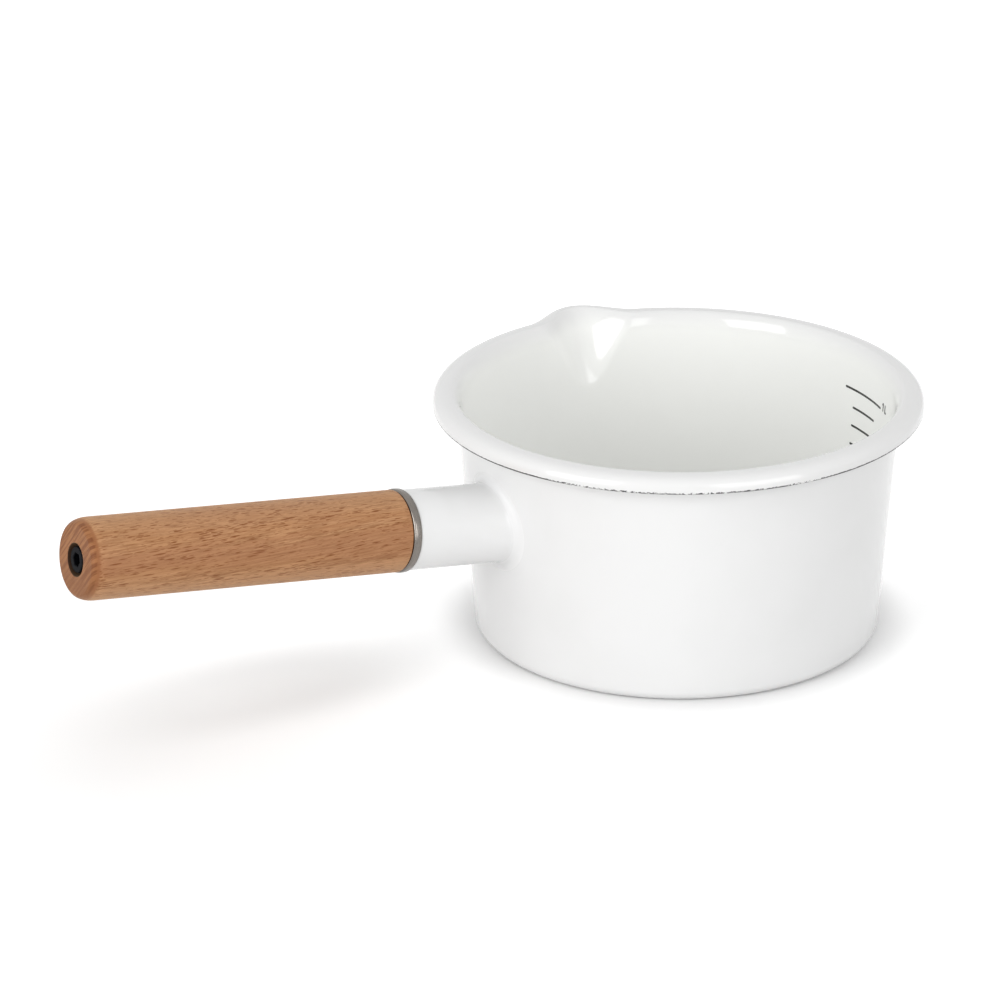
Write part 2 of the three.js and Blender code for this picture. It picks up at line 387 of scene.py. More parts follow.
def sheet_face(depth):
    """One face of the sheet from the axis to the rim's edge, at a depth below the outer face."""
    corner_radius = wall_radius(BASE_CORNER) - BASE_CORNER / math.cos(taper)
    corner = BASE_CORNER - depth
    bend_rise = RIM_BEND_HEIGHT - SHEET + depth
    to_wall = crest_radius - face_radius(bend_height, depth)
    bend = math.sqrt(to_wall**2 - (slope * bend_rise) ** 2)
    bend_start = math.degrees(math.atan2(slope * bend_rise, bend))
    below_spout = spout_root - SPOUT_MARGIN
    plain = np.linspace(BASE_CORNER, below_spout, 13)[1:-1]
    heights = np.concatenate((plain, np.linspace(below_spout, bend_height, 25)))
    reach, drop = RIM_REACH - SHEET + depth, RIM_DROP - SHEET + depth
    return path(
        line((0, depth), (corner_radius, depth), steps=6),
        arc(corner_radius, BASE_CORNER, corner, corner, -90, -WALL_TAPER, steps=12),
        np.column_stack((face_radius(heights, depth), heights)),
        arc(crest_radius, bend_height, bend, bend_rise, 180 - bend_start, 90, steps=18),
        shoulder(crest_radius, lip_height, reach, drop, steps=24),
    )


def soft_step(x, softness):
    """x held between 0 and 1, with rounded ends."""
    low = (x + np.sqrt(x * x + softness**2)) / 2
    rest = 1 - low
    return 1 - (rest + np.sqrt(rest * rest + softness**2)) / 2


def pressed(radius, z, angle):
    """How far the spout pushes a point of the pan outwards, at an angle from the spout."""
    climb = (z - spout_root) / (PAN_HEIGHT - SHEET - spout_root)
    climb = np.where(radius >= crest_radius, np.maximum(climb, 1.0), climb)
    rise = soft_step(climb, SPOUT_SOFTNESS)
    to_lip = np.clip((radius - crest_radius) / RIM_REACH, 0, 1)
    reach = SPOUT_CREST_REACH + (SPOUT_REACH - SPOUT_CREST_REACH) * to_lip
    widening = (SPOUT_HALF_WIDTH - SPOUT_ROOT_HALF_WIDTH) * rise
    half_width = SPOUT_ROOT_HALF_WIDTH + widening + SPOUT_LIP_SPREAD * to_lip
    across = np.minimum(np.abs(radius * angle) / half_width, 1.0)
    return reach * rise * np.cos(across * math.pi / 2) ** 2


def per_row(piece, name, rows, values):
    """One value per row of points as an attribute of the piece, for its material."""
    spread = np.concatenate([np.full(len(r), v) for r, v in zip(rows, values)])
    attribute = piece.data.attributes.new(name, "FLOAT", "POINT")
    attribute.data.foreach_set("value", spread.astype(np.float32))


def pan_shell():
    under = sheet_face(0.0)
    top = sheet_face(SHEET)[::-1]
    lip_radius = SHEET / 2
    lip_middle = crest_radius + RIM_REACH - lip_radius
    lip = arc(lip_middle, lip_height, lip_radius, lip_radius, 180, 360, LIP_STEPS)
    profile = path(under, lip, top)
    even = evenly_round(PAN_SEGMENTS) - math.pi
    angle = even - SPOUT_CROWDING * np.sin(even)
    rows = []
    for radius, z in profile:
        if radius < TINY:
            rows.append(axis_point(z))
        else:
            out = radius + pressed(radius, z, angle)
            rows.append(ring(out, angle + spout_direction, z))
    piece = skinned("pan_shell", rows, sharp=60.0)

    # For the bare line along the rim's cut edge: how far each point of the lip faces down,
    # and below 0 how far a point is above the lip.
    radii, heights = profile.T
    first = len(under) - 1
    above = np.clip((heights - lip_height) / lip_radius, 0, 1)
    facing_down = np.where(radii > crest_radius, -above, -1.0)
    facing_down[first : first + LIP_STEPS + 1] = np.sin(np.linspace(0, math.pi, LIP_STEPS + 1))
    per_row(piece, "bare_edge", rows, facing_down)

    # For the painted shade on the rim and the painted light on the inside: 0 on the outside, 1 on
    # the rim's top and 2 on the inside.
    inner = np.arange(len(profile)) > first + LIP_STEPS // 2
    depth = np.clip((PAN_HEIGHT - heights) / RIM_BEND_HEIGHT, 0, 1)
    zone = np.where(inner, np.where(radii < crest_radius, 1 + depth, 1), 0)
    per_row(piece, "zone", rows, zone)
    return piece


# Litre marks, printed on the inside wall


def on_inside_wall(along, z, film):
    """Points on the inside wall, a distance round it and at a height, proud by a film."""
    azimuth = along / wall_radius(TOP_MARK)
    return ring(face_radius(z) - film, azimuth, z)


def stroke(points, width):
    """A printed stroke along points (distance round the wall, height) as a thin closed slab."""
    points = np.asarray(points, float)
    run = np.gradient(points, axis=0)
    run /= np.linalg.norm(run, axis=1)[:, None]
    steps = np.linalg.norm(np.diff(points, axis=0), axis=1)
    reached = np.concatenate(([0], np.cumsum(steps)))
    to_end = np.minimum(np.minimum(reached, reached[-1] - reached) / (width / 2), 1)
    half = np.maximum(np.sqrt(1 - (1 - to_end) ** 2), BLUNT_END) * width / 2
    side = np.column_stack((-run[:, 1], run[:, 0])) * half[:, None]
    left, right = points + side, points - side
    edges = ((left, -INK_FILM), (left, INK_FILM), (right, INK_FILM), (right, -INK_FILM))
    loops = [on_inside_wall(p[:, 0], p[:, 1], film) for p, film in edges]
    vertices = np.stack(loops, axis=1).reshape(-1, 3)
    faces = [(0, 1, 2, 3)]
    for i in range(0, len(vertices) - 4, 4):
        faces += [(i + k, i + 4 + k, i + 4 + (k + 1) % 4, i + (k + 1) % 4) for k in range(4)]
    last = len(vertices) - 4
    faces.append((last + 3, last + 2, last + 1, last))
    return vertices, faces


def measure_strokes(degree):
    """A mark for each tenth of a litre, longer at the half and the whole one."""
    # What a tapered wall holds goes with the cube of its radius.
    full, empty = face_radius(TOP_MARK) ** 3, face_radius(SHEET) ** 3
    sweep = np.sin(np.linspace(-math.pi / 2, math.pi / 2, MARK_POINTS))
    strokes = []
    for tenth in range(1, 11):
        radius = (empty + (full - empty) * tenth / 10) ** (1 / 3)
        z = TOP_MARK - (face_radius(TOP_MARK) - radius) / slope
        half = LONG_MARK if tenth % 5 == 0 else SHORT_MARK
        along = (MARK_CENTRE - half * sweep) * degree
        strokes.append(stroke(np.column_stack((along, np.full(MARK_POINTS, z))), MARK_WIDTH))
    return strokes


def figure_strokes(degree):
    """The 1 and the L beside the top mark."""
    one, unit = FIGURE_TURN * degree, UNIT_TURN * degree
    low = TOP_MARK - FIGURE_DROP
    high = low + FIGURE_HEIGHT
    foot = low + FIGURE_WIDTH / 2
    flag = [(one + along, high + up) for along, up in (FLAG_START, FLAG_END)]
    lines = (
        ((one, low), (one, high), FIGURE_WIDTH),
        (*flag, FLAG_WIDTH),
        ((unit, high), (unit, low), FIGURE_WIDTH),
        ((unit, foot), (unit - UNIT_FOOT, foot), FIGURE_WIDTH),
    )
    sweep = (1 - np.cos(np.linspace(0, math.pi, FIGURE_POINTS)))[:, None] / 2
    return [stroke(np.array(a) + np.subtract(b, a) * sweep, width) for a, b, width in lines]


def litre_marks():
    degree = math.radians(1.0) * wall_radius(TOP_MARK)
    vertices, faces, count = [], [], 0
    for points, slab in measure_strokes(degree) + figure_strokes(degree):
        vertices.append(points)
        faces += [tuple(count + i for i in face) for face in slab]
        count += len(points)
    return finished("litre_marks", np.vstack(vertices), faces, sharp=30.0)


# Handle


def handle_stem():
    foot = HANDLE_RADIUS + ROOT_FILLET
    root = path(
        (stem_bore, -ROOT_SINK),
        (foot + ROOT_HEM, -ROOT_SINK),
        (foot + ROOT_FEATHER, 0.0),
        arc(foot, ROOT_FILLET, ROOT_FILLET, ROOT_FILLET, -90, -180, steps=20),
    )
    tube_start = float(wall_distance(0.0, 0.0)) + ROOT_FILLET
    tube_end = stem_mouth - EDGE
    tube = path(
        line((HANDLE_RADIUS, tube_start), (HANDLE_RADIUS, tube_end), steps=16)[1:],
        arc(HANDLE_RADIUS - EDGE, tube_end, EDGE, EDGE, 0, 90, steps=8),
        (stem_bore + EDGE, stem_mouth),
        (stem_bore, tube_end),
    )
    rows = turned(root, STEM_SEGMENTS)
    for r in rows:
        r[:, 2] += wall_distance(r[:, 0], r[:, 1])
    return skinned("handle_stem_enamel", in_handle(rows + turned(tube, STEM_SEGMENTS)))


def steel_ring():
    """The ring, which closes the joints to the stem and the grip."""
    inner = spigot_radius + CLEARANCE
    start, end = ring_start - RING_REACH, ring_end + RING_REACH / 2
    middle = HANDLE_RADIUS + RING_STEP - RING_ROUND
    profile = path(
        (inner, start),
        arc(middle, start + RING_ROUND, RING_ROUND, RING_ROUND, -90, 0, steps=14),
        arc(middle, end - RING_ROUND, RING_ROUND, RING_ROUND, 0, 90, steps=14),
        (inner, end),
    )
    return skinned("ferrule_ring", in_handle(turned(profile, GRIP_SEGMENTS)))


def wood_grip():
    start = HANDLE_RADIUS + GRIP_STEP
    tail = start - GRIP_TAPER
    round_start = grip_end - GRIP_END_ROUND_LENGTH
    flat = tail - GRIP_END_ROUND
    mouth = counterbore + MOUTH_EDGE
    profile = path(
        (screw_bore, spigot_end),
        (spigot_radius - EDGE, spigot_end),
        (spigot_radius, spigot_end + EDGE),
        (spigot_radius, grip_start),
        arc(start - EDGE, grip_start + EDGE, EDGE, EDGE, -90, 0, steps=8),
        line((start, grip_start + EDGE), (tail, round_start), steps=40)[1:-1],
        arc(flat, round_start, GRIP_END_ROUND, GRIP_END_ROUND_LENGTH, 0, 90, steps=26),
        line((flat, grip_end), (mouth, grip_end), steps=6)[1:-1],
        arc(mouth, grip_end - MOUTH_EDGE, MOUTH_EDGE, MOUTH_EDGE, 90, 180, steps=8),
        (counterbore, counterbore_floor),
        (screw_bore, counterbore_floor),
    )
    return skinned("beech_grip", in_handle(turned(profile, GRIP_SEGMENTS)), sharp=45.0)


def threaded_plate():
    radius = stem_bore - CLEARANCE
    back = plate_face - PLATE_THICKNESS
    profile = path(
        (screw_bore, boss_end + EDGE),
        (screw_bore + EDGE, boss_end),
        (BOSS_RADIUS - EDGE, boss_end),
        (BOSS_RADIUS, boss_end + EDGE),
        arc(BOSS_RADIUS + PLATE_WELD, back - PLATE_WELD, PLATE_WELD, PLATE_WELD, 180, 90, steps=6),
        (radius - EDGE, back),
        (radius, back + EDGE),
        (radius, plate_face - EDGE),
        (radius - EDGE, plate_face),
        (screw_bore + EDGE, plate_face),
        (screw_bore, plate_face - EDGE),
    )
    return skinned("plate_with_boss", in_handle(turned(profile, HIDDEN_SEGMENTS)))


# Screw and washer


def screw_washer():
    top = washer_seat + WASHER_THICKNESS
    middle = WASHER_RADIUS - WASHER_ROUND
    profile = path(
        (screw_bore, washer_seat + WASHER_CHAMFER),
        (screw_bore + WASHER_CHAMFER, washer_seat),
        arc(middle, washer_seat + WASHER_ROUND, WASHER_ROUND, WASHER_ROUND, -90, 0, steps=6),
        arc(middle, top - WASHER_ROUND, WASHER_ROUND, WASHER_ROUND, 0, 90, steps=6),
        (screw_bore + WASHER_CHAMFER, top),
        (screw_bore, top - WASHER_CHAMFER),
    )
    return skinned("washer_disc", in_handle(turned(profile, HIDDEN_SEGMENTS)))


def threaded_rows(around, tip, thread_end):
    """Rows of the threaded end, whose groove starts shallow and runs out into the shank."""
    rows = [axis_point(tip), ring(SHANK_RADIUS - THREAD_DEPTH - TIP_CHAMFER, around, tip)]
    for z in np.arange(tip + TIP_CHAMFER, thread_end, THREAD_PITCH / THREAD_STEPS):
        turn = (z / THREAD_PITCH - around / (2 * math.pi)) % 1.0
        groove = np.clip(np.abs(2 * turn - 1) * GROOVE_STRETCH - GROOVE_CREST, 0, 1)
        lead = np.clip((z - tip) / THREAD_LEAD, THREAD_LEAD_DEPTH, 1)
        runout = np.clip((thread_end - z) / THREAD_RUNOUT, 0, 1)
        radius = SHANK_RADIUS * np.clip((z - tip) / TIP_TAPER_LENGTH, TIP_TAPER, 1)
        rows.append(ring(radius - THREAD_DEPTH * runout * lead * groove, around, z))
    return rows


def head_rows(around, top):
    """Rows of the knurled head, from its seat over the rounded edge into the hex socket."""
    knurled = HEAD_RADIUS - KNURL_DEPTH * np.abs(np.sin(around * KNURLS / 2))
    turned_down = HEAD_RADIUS - KNURL_DEPTH
    sixth = (around + math.pi / 6) % (math.pi / 3) - math.pi / 6
    flats = SOCKET_FLATS / 2 / np.cos(sixth)
    edge = arc(turned_down - EDGE, top - EDGE, EDGE, EDGE, 0, 90, steps=7)
    return [
        ring(HEAD_RADIUS - HEAD_CHAMFER, around, head_seat),
        ring(knurled, around, head_seat + HEAD_CHAMFER),
        ring(knurled, around, top - KNURL_FADE),
        ring(turned_down, around, top - KNURL_STOP),
        *(ring(radius, around, z) for radius, z in edge),
        ring(flats + SOCKET_CHAMFER, around, top),
        ring(flats, around, top - SOCKET_CHAMFER_DEPTH),
        ring(flats, around, top - SOCKET_DEPTH),
        axis_point(top - SOCKET_DEPTH - SOCKET_POINT),
    ]


def clamp_screw():
    around = evenly_round(SCREW_SEGMENTS)
    tip = boss_end - SCREW_TIP
    thread_end = tip + THREADED_END
    shank = [
        ring(SHANK_RADIUS, around, thread_end + SHANK_MARGIN),
        ring(SHANK_RADIUS, around, head_seat - NECK),
        ring(SHANK_RADIUS + NECK, around, head_seat),
    ]
    head = head_rows(around, head_top + HEAD_PROUD)
    rows = threaded_rows(around, tip, thread_end) + shank + head
    return skinned("socket_screw", in_handle(rows), sharp=28.0)


# Materials. The scales and stretches of noise are per millimetre.


class Shader:
    """The nodes of a material or a world, and short ways to add and join them."""

    def __init__(self, owner, output="ShaderNodeOutputMaterial"):
        owner.use_nodes = True
        self.owner = owner
        self.tree = owner.node_tree
        self.tree.nodes.clear()
        self.output = self.tree.nodes.new(output)

    def feed(self, socket, value):
        """Links another node's output to a socket, or sets the socket's own value."""
        if isinstance(value, bpy.types.NodeSocket):
            self.tree.links.new(value, socket)
        else:
            socket.default_value = value

    def node(self, kind, settings=None, **inputs):
        made = self.tree.nodes.new(kind)
        for key, value in (settings or {}).items():
            setattr(made, key, value)
        for key, value in inputs.items():
            self.feed(made.inputs[key.replace("_", " ")], value)
        return made

    def feed_all(self, made, values):
        """Feeds a node's sockets in their order."""
        for socket, value in zip(made.inputs, values):
            self.feed(socket, value)
        return made

    def maths(self, operation, *values):
        made = self.node("ShaderNodeMath", {"operation": operation})
        return self.feed_all(made, values).outputs["Value"]

    def vector_maths(self, operation, *values):
        made = self.node("ShaderNodeVectorMath", {"operation": operation})
        result = "Value" if operation in ("DOT_PRODUCT", "LENGTH") else "Vector"
        return self.feed_all(made, values).outputs[result]

    def span(self, value, low, high, to_low=0.0, to_high=1.0, smooth=True):
        """A value's span from low to high, taken to another span and held at its ends."""
        return self.node(
            "ShaderNodeMapRange",
            {"interpolation_type": "SMOOTHSTEP" if smooth else "LINEAR"},
            Value=value,
            From_Min=low,
            From_Max=high,
            To_Min=to_low,
            To_Max=to_high,
        ).outputs["Result"]

    def mix(self, factor, a, b):
        made = self.node("ShaderNodeMix", {"data_type": "RGBA"}, Factor=factor)
        colours = [s for s in made.inputs if s.type == "RGBA"]
        self.feed(colours[0], a)
        self.feed(colours[1], b)
        return next(s for s in made.outputs if s.type == "RGBA")

    def noise(self, vector, scale, detail=2.0, roughness=0.5):
        return self.node(
            "ShaderNodeTexNoise", Vector=vector, Scale=scale, Detail=detail, Roughness=roughness
        ).outputs["Fac"]

    def stretched(self, vector, scale):
        return self.node("ShaderNodeMapping", Vector=vector, Scale=scale).outputs["Vector"]

    def split(self, vector):
        return self.node("ShaderNodeSeparateXYZ", Vector=vector).outputs

    def off_axis(self, parts):
        """Distance from the Z axis, from a vector's parts."""
        squares = [self.maths("POWER", parts[k], 2.0) for k in "XY"]
        return self.maths("SQRT", self.maths("ADD", *squares))

    def coordinates(self, kind):
        return self.node("ShaderNodeTexCoord").outputs[kind]

    def object_mm(self):
        """Millimetres in the row frame."""
        return self.stretched(self.coordinates("Object"), (1 / MM, 1 / MM, 1 / MM))

    def handle_mm(self):
        """Millimetres in the handle's own frame: X up, Y across, Z outwards along the handle."""
        return self.node(
            "ShaderNodeMapping",
            {"vector_type": "TEXTURE"},
            Vector=self.coordinates("Object"),
            Location=(0, 0, HANDLE_HEIGHT * MM),
            Rotation=(0, tilt - math.pi / 2, 0),
            Scale=(MM, MM, MM),
        ).outputs["Vector"]

    def bump(self, height, strength, distance):
        return self.node(
            "ShaderNodeBump", Height=height, Strength=strength, Distance=distance
        ).outputs["Normal"]

    def show(self, made):
        """Makes a node's result the surface, and gives back the material or world."""
        self.feed(self.output.inputs["Surface"], made.outputs[0])
        return self.owner

    def finish(self, **inputs):
        return self.show(self.node("ShaderNodeBsdfPrincipled", **inputs))


def new_material(name):
    return Shader(bpy.data.materials.new(name))


def plain_enamel(s, where):
    """Colour and roughness of the enamel on the outside, a little cloudy."""
    cloud = s.span(s.noise(where, 0.03, 3.0), 0.35, 0.65)
    roughness = s.span(s.noise(where, 0.09, 3.0), 0.3, 0.7, *ENAMEL_ROUGHNESS)
    return s.mix(cloud, *ENAMEL_OUTSIDE), roughness


def finish_enamel(s, where, colour, roughness):
    """Adds slow waves and a fine peel to the enamel."""
    wave = s.noise(where, 0.045, 1.0)
    peel = s.maths("MULTIPLY", s.noise(where, 0.4, 2.0), 0.06)
    return s.finish(
        Base_Color=colour,
        Roughness=roughness,
        Normal=s.bump(s.maths("ADD", wave, peel), 0.2, 0.0003),
        IOR=1.5,
        Specular_IOR_Level=0.5,
    )


def bare_line(s, where):
    """Where the rim's cut edge is bare: solid in some stretches, broken into dots in others."""
    faces_down = s.node("ShaderNodeAttribute", {"attribute_name": "bare_edge"}).outputs["Fac"]
    parts = s.split(where)
    round_rim = s.maths("ARCTAN2", parts["Y"], parts["X"])
    turn = s.maths("SUBTRACT", round_rim, math.radians(DOTTED_TURN))
    stretch = s.maths("COSINE", s.maths("MULTIPLY", turn, DOTTED_STRETCHES))
    stretch = s.maths("ADD", stretch, s.span(s.noise(where, 0.06, 2.0), 0.3, 0.7, -0.6, 0.6))
    broken = s.span(stretch, -0.6, 0.6, 0.15, 1.0)
    grains = s.span(s.noise(where, 1.4, 2.0, 0.6), 0.42, 0.6, -0.1, 0.95)
    start = s.maths("SUBTRACT", s.maths("MULTIPLY", broken, grains), 0.02)
    return s.span(s.maths("SUBTRACT", faces_down, start), -0.06, 0.06)


def shell_enamel():
    """The pan's enamel: its own colour outside, painted shade on the rim, painted light on the
    inside, and the bare line.
    """
    s = new_material("white_enamel_with_bare_edge")
    where = s.object_mm()
    colour, roughness = plain_enamel(s, where)
    zone = s.node("ShaderNodeAttribute", {"attribute_name": "zone"}).outputs["Fac"]
    # Painted shade darkens the rim's top and painted light brightens the inside.
    colour = s.mix(s.span(zone, 0, 1), colour, RIM_PAINTED_SHADE)
    colour = s.mix(s.span(zone, 1, 2), colour, INSIDE_PAINTED_LIGHT)
    bare = bare_line(s, where)
    colour = s.mix(bare, colour, BARE_EDGE)
    roughness = s.maths("ADD", roughness, s.maths("MULTIPLY", bare, BARE_ROUGHNESS))
    return finish_enamel(s, where, colour, roughness)


def stem_enamel():
    """The stem's enamel, thick and less even over the weld at its root."""
    s = new_material("white_enamel")
    where = s.object_mm()
    colour, roughness = plain_enamel(s, where)
    off_axis = s.off_axis(s.split(s.handle_mm()))
    weld = s.span(off_axis, HANDLE_RADIUS - 0.2, HANDLE_RADIUS + 0.8, 0.0, WELD_ROUGHNESS)
    return finish_enamel(s, where, colour, s.maths("ADD", roughness, weld))


def climbing_grain(s, where, parts):
    """Places in the wood, whose grain climbs a little towards the pan and wanders."""
    bend = s.noise(s.stretched(where, (0.03, 0.03, 0.012)), 1.0, 2.0)
    wander = s.maths("MULTIPLY", s.maths("SUBTRACT", bend, 0.5), 3.0)
    climb = s.maths("ADD", wander, s.maths("MULTIPLY", parts["Z"], GRAIN_CLIMB))
    return s.node(
        "ShaderNodeCombineXYZ",
        X=s.maths("ADD", parts["X"], climb),
        Y=s.maths("ADD", parts["Y"], s.maths("MULTIPLY", wander, 0.5)),
        Z=parts["Z"],
    ).outputs["Vector"]


def flecks(s, grain, gathered, scale, size, seed):
    """Ray flecks of one size: thin pointed dashes in the cells of a stretched pattern."""
    shifted = s.vector_maths("ADD", grain, (seed, seed * 0.7, seed * 1.9))
    cells = s.node(
        "ShaderNodeTexVoronoi",
        {"feature": "F1", "distance": "MINKOWSKI"},
        Vector=s.stretched(shifted, scale),
        Scale=1.0,
        Exponent=1.35,
    ).outputs
    chance = s.node("ShaderNodeSeparateColor", Color=cells["Color"]).outputs
    grown = s.maths("MULTIPLY", s.span(chance[0], 0.1, 0.9, 0.45, 1.0, smooth=False), size)
    depth = s.span(chance[1], 0.0, 1.0, 0.6, 1.0, smooth=False)
    near = s.maths("DIVIDE", cells["Distance"], s.maths("MULTIPLY", grown, gathered))
    return s.maths("MULTIPLY", s.span(near, 0.98, 0.7), depth)


def ray_flecks(s, grain):
    """Long and short ray flecks, gathered in rows."""
    gathered = s.noise(s.stretched(grain, (0.16, 0.16, 0.012)), 1.0, 2.0)
    gathered = s.span(gathered, 0.36, 0.6, 0.7, 1.15)
    long_flecks = flecks(s, grain, gathered, (1.6, 1.6, 0.17), 0.5, seed=3.0)
    short_flecks = flecks(s, grain, gathered, (2.2, 2.2, 0.28), 0.44, seed=11.0)
    return s.maths("MAXIMUM", long_flecks, s.maths("MULTIPLY", short_flecks, 0.75))


def side_grain(s, where, parts, fibre, streak):
    """Colour of the wood along the grip: a dark band round the middle of its height, partly the
    wood's own streak and partly painted shade, and pale bands of painted light on its top and
    underside.
    """
    colour = s.mix(s.span(fibre, 0.3, 0.7), *FIBRE)
    colour = s.mix(s.span(streak, 0.35, 0.65, 0.0, 0.5), colour, STREAK)
    warm = s.noise(s.stretched(where, (0.06, 0.06, 0.015)), 1.0, 2.0)
    colour = s.mix(s.span(warm, 0.4, 0.7, 0.0, 0.4), colour, WARM_WOOD)
    # Across the middle of the grip's height: partly the wood's own darker streak, partly painted
    # shade.
    uneven = s.maths("MULTIPLY", s.maths("SUBTRACT", streak, 0.5), BAND_WANDER)
    down = s.maths("SUBTRACT", uneven, parts["X"])
    band = s.maths("MULTIPLY", s.span(down, -8.0, -2.5), s.span(down, 5.0, 0.5, 0.0, 0.42))
    colour = s.mix(band, colour, WOOD_BAND_AND_PAINTED_SHADE)
    # Painted light: the grip's top and underside made paler.
    pale = s.maths("ADD", s.span(down, -7.5, -10.5, 0.0, 0.2), s.span(down, 3.0, 6.0, 0.0, 0.28))
    return s.mix(pale, colour, PAINTED_LIGHT_BANDS)


def end_grain(s, where, parts):
    """Colour of the grip's end, which takes more oil and shows slanting stripes, with painted
    shade on its lower part.
    """
    slanted = s.node(
        "ShaderNodeVectorRotate",
        {"rotation_type": "Z_AXIS"},
        Vector=where,
        Angle=math.radians(STRIPE_SLANT),
    ).outputs["Vector"]
    stripe = s.noise(s.stretched(slanted, (0.07, 1.15, 0.02)), 1.0, 3.0, 0.6)
    colour = s.mix(s.span(stripe, 0.4, 0.62), *END_STRIPE)
    # Painted shade: the end darker towards its lower side.
    return s.mix(s.span(parts["X"], 4.0, -9.0, 0.0, 0.5), colour, END_PAINTED_SHADE)


def beech():
    s = new_material("oiled_beech")
    where = s.handle_mm()
    parts = s.split(where)
    grain = climbing_grain(s, where, parts)

    # Fibres, streaks and pores, long along the handle.
    fibre = s.noise(s.stretched(grain, (2.2, 2.2, 0.08)), 1.0, 4.0, 0.65)
    streak = s.noise(s.stretched(grain, (0.45, 0.45, 0.012)), 1.0, 3.0, 0.55)
    pore = s.noise(s.stretched(grain, (7.0, 7.0, 0.6)), 1.0, 2.0, 0.6)
    fleck = ray_flecks(s, grain)
    colour = side_grain(s, where, parts, fibre, streak)
    colour = s.mix(s.span(pore, 0.52, 0.75, 0.0, 0.28), colour, PORE)
    colour = s.mix(fleck, colour, FLECK)

    # The end's grain and the rounded corner before it, darker than the outside, and painted shade
    # in the drilled hole.
    outwards = (-math.cos(tilt), 0, math.sin(tilt))
    facing = s.vector_maths("DOT_PRODUCT", s.coordinates("Normal"), outwards)
    end = s.span(s.maths("ABSOLUTE", facing), 0.2, 0.5)
    colour = s.mix(s.maths("MULTIPLY", end, 0.93), colour, end_grain(s, where, parts))
    halfway = s.maths("MULTIPLY", end, s.maths("SUBTRACT", 1.0, end))
    colour = s.mix(s.maths("MULTIPLY", halfway, 3.0), colour, END_CORNER)
    # Painted shade: the wood inside the drilled holes made nearly black.
    hole = s.span(s.off_axis(parts), counterbore + 0.16, counterbore + 0.01, 0.0, 0.95)
    colour = s.mix(hole, colour, HOLE_PAINTED_SHADE)

    height = s.maths("SUBTRACT", s.maths("MULTIPLY", pore, 0.6), s.maths("MULTIPLY", fleck, 0.5))
    return s.finish(
        Base_Color=colour,
        Roughness=s.span(fibre, 0.3, 0.7, 0.5, 0.62),
        Normal=s.bump(height, 0.25, 0.00012),
        IOR=1.45,
        Specular_IOR_Level=0.34,
        Sheen_Weight=0.2,
        Sheen_Roughness=0.5,
        Sheen_Tint=OIL_SHEEN,
    )


def turned_steel(name, colours, roughness):
    """Steel with fine lathe lines and faint stains, in a dark and a light colour."""
    s = new_material(name)
    where = s.handle_mm()
    lathe = s.maths("MULTIPLY", s.split(where)["Z"], LATHE_LINES)
    lines = s.noise(s.node("ShaderNodeCombineXYZ", X=lathe).outputs["Vector"], 1.0, 3.0, 0.7)
    stain = s.span(s.noise(where, 0.35, 3.0), 0.45, 0.75, 0.0, 0.35)
    colour = s.mix(s.span(lines, 0.3, 0.7), *colours)
    return s.finish(
        Base_Color=s.mix(stain, colour, colours[0]),
        Metallic=1.0,
        Roughness=s.maths("ADD", s.span(lines, 0.3, 0.7, -0.05, 0.06), roughness),
        Normal=s.bump(lines, 0.2, 0.00002),
    )


def black_oxide():
    s = new_material("black_oxide_steel")
    grain = s.noise(s.handle_mm(), 4.0, 3.0, 0.6)
    return s.finish(
        Base_Color=s.mix(s.span(grain, 0.35, 0.7), *BLACK_OXIDE),
        Roughness=s.span(grain, 0.3, 0.7, 0.36, 0.5),
        Normal=s.bump(grain, 0.15, 0.00002),
        IOR=1.5,
        Specular_IOR_Level=0.04,
    )


def printed_ink():
    s = new_material("fired_grey_ink")
    speck = s.noise(s.object_mm(), 2.2, 3.0, 0.6)
    return s.finish(
        Base_Color=s.mix(s.span(speck, 0.35, 0.75), *INK),
        Roughness=s.span(speck, 0.3, 0.7, 0.2, 0.35),
        Normal=s.bump(speck, 0.1, 0.00002),
    )


# Floor, light and camera


def seen_as_background(s):
    """1 for the rays that show the background as such: camera, mirror and glass."""
    rays = s.node("ShaderNodeLightPath").outputs
    mirrored = s.maths("MAXIMUM", rays["Is Camera Ray"], rays["Is Glossy Ray"])
    return s.maths("MAXIMUM", mirrored, rays["Is Transmission Ray"])


def floor_lift(s):
    """How much the floor is lifted to white, but not round the base or in an ellipse under the
    handle, which paints their shadows deeper.
    """
    position = s.node("ShaderNodeNewGeometry").outputs["Position"]
    turn = math.radians(PHOTO_AZIMUTH)
    away = s.vector_maths("DOT_PRODUCT", position, (-math.cos(turn), -math.sin(turn), 0))
    reach = s.vector_maths("LENGTH", position)
    behind = s.span(away, *LIFT_BEHIND_FROM, LIFT, LIFT + LIFT_BEHIND)
    around = s.span(reach, *LIFT_AROUND_FROM, LIFT_AROUND, 0)
    # Painted shadows: no lift round the pan's base and in an ellipse under the handle.
    off_base = s.span(reach, *BASE_PAINTED_SHADOW)
    along, across = HANDLE_PAINTED_SHADOW_REACH
    offset = s.vector_maths("SUBTRACT", position, HANDLE_PAINTED_SHADOW)
    off_handle = s.vector_maths("LENGTH", s.stretched(offset, (1 / along, 1 / across, 0)))
    clear = s.maths("MULTIPLY", off_base, s.span(off_handle, *HANDLE_PAINTED_SHADOW_EDGE))
    return s.maths("MULTIPLY", clear, s.maths("ADD", behind, around))


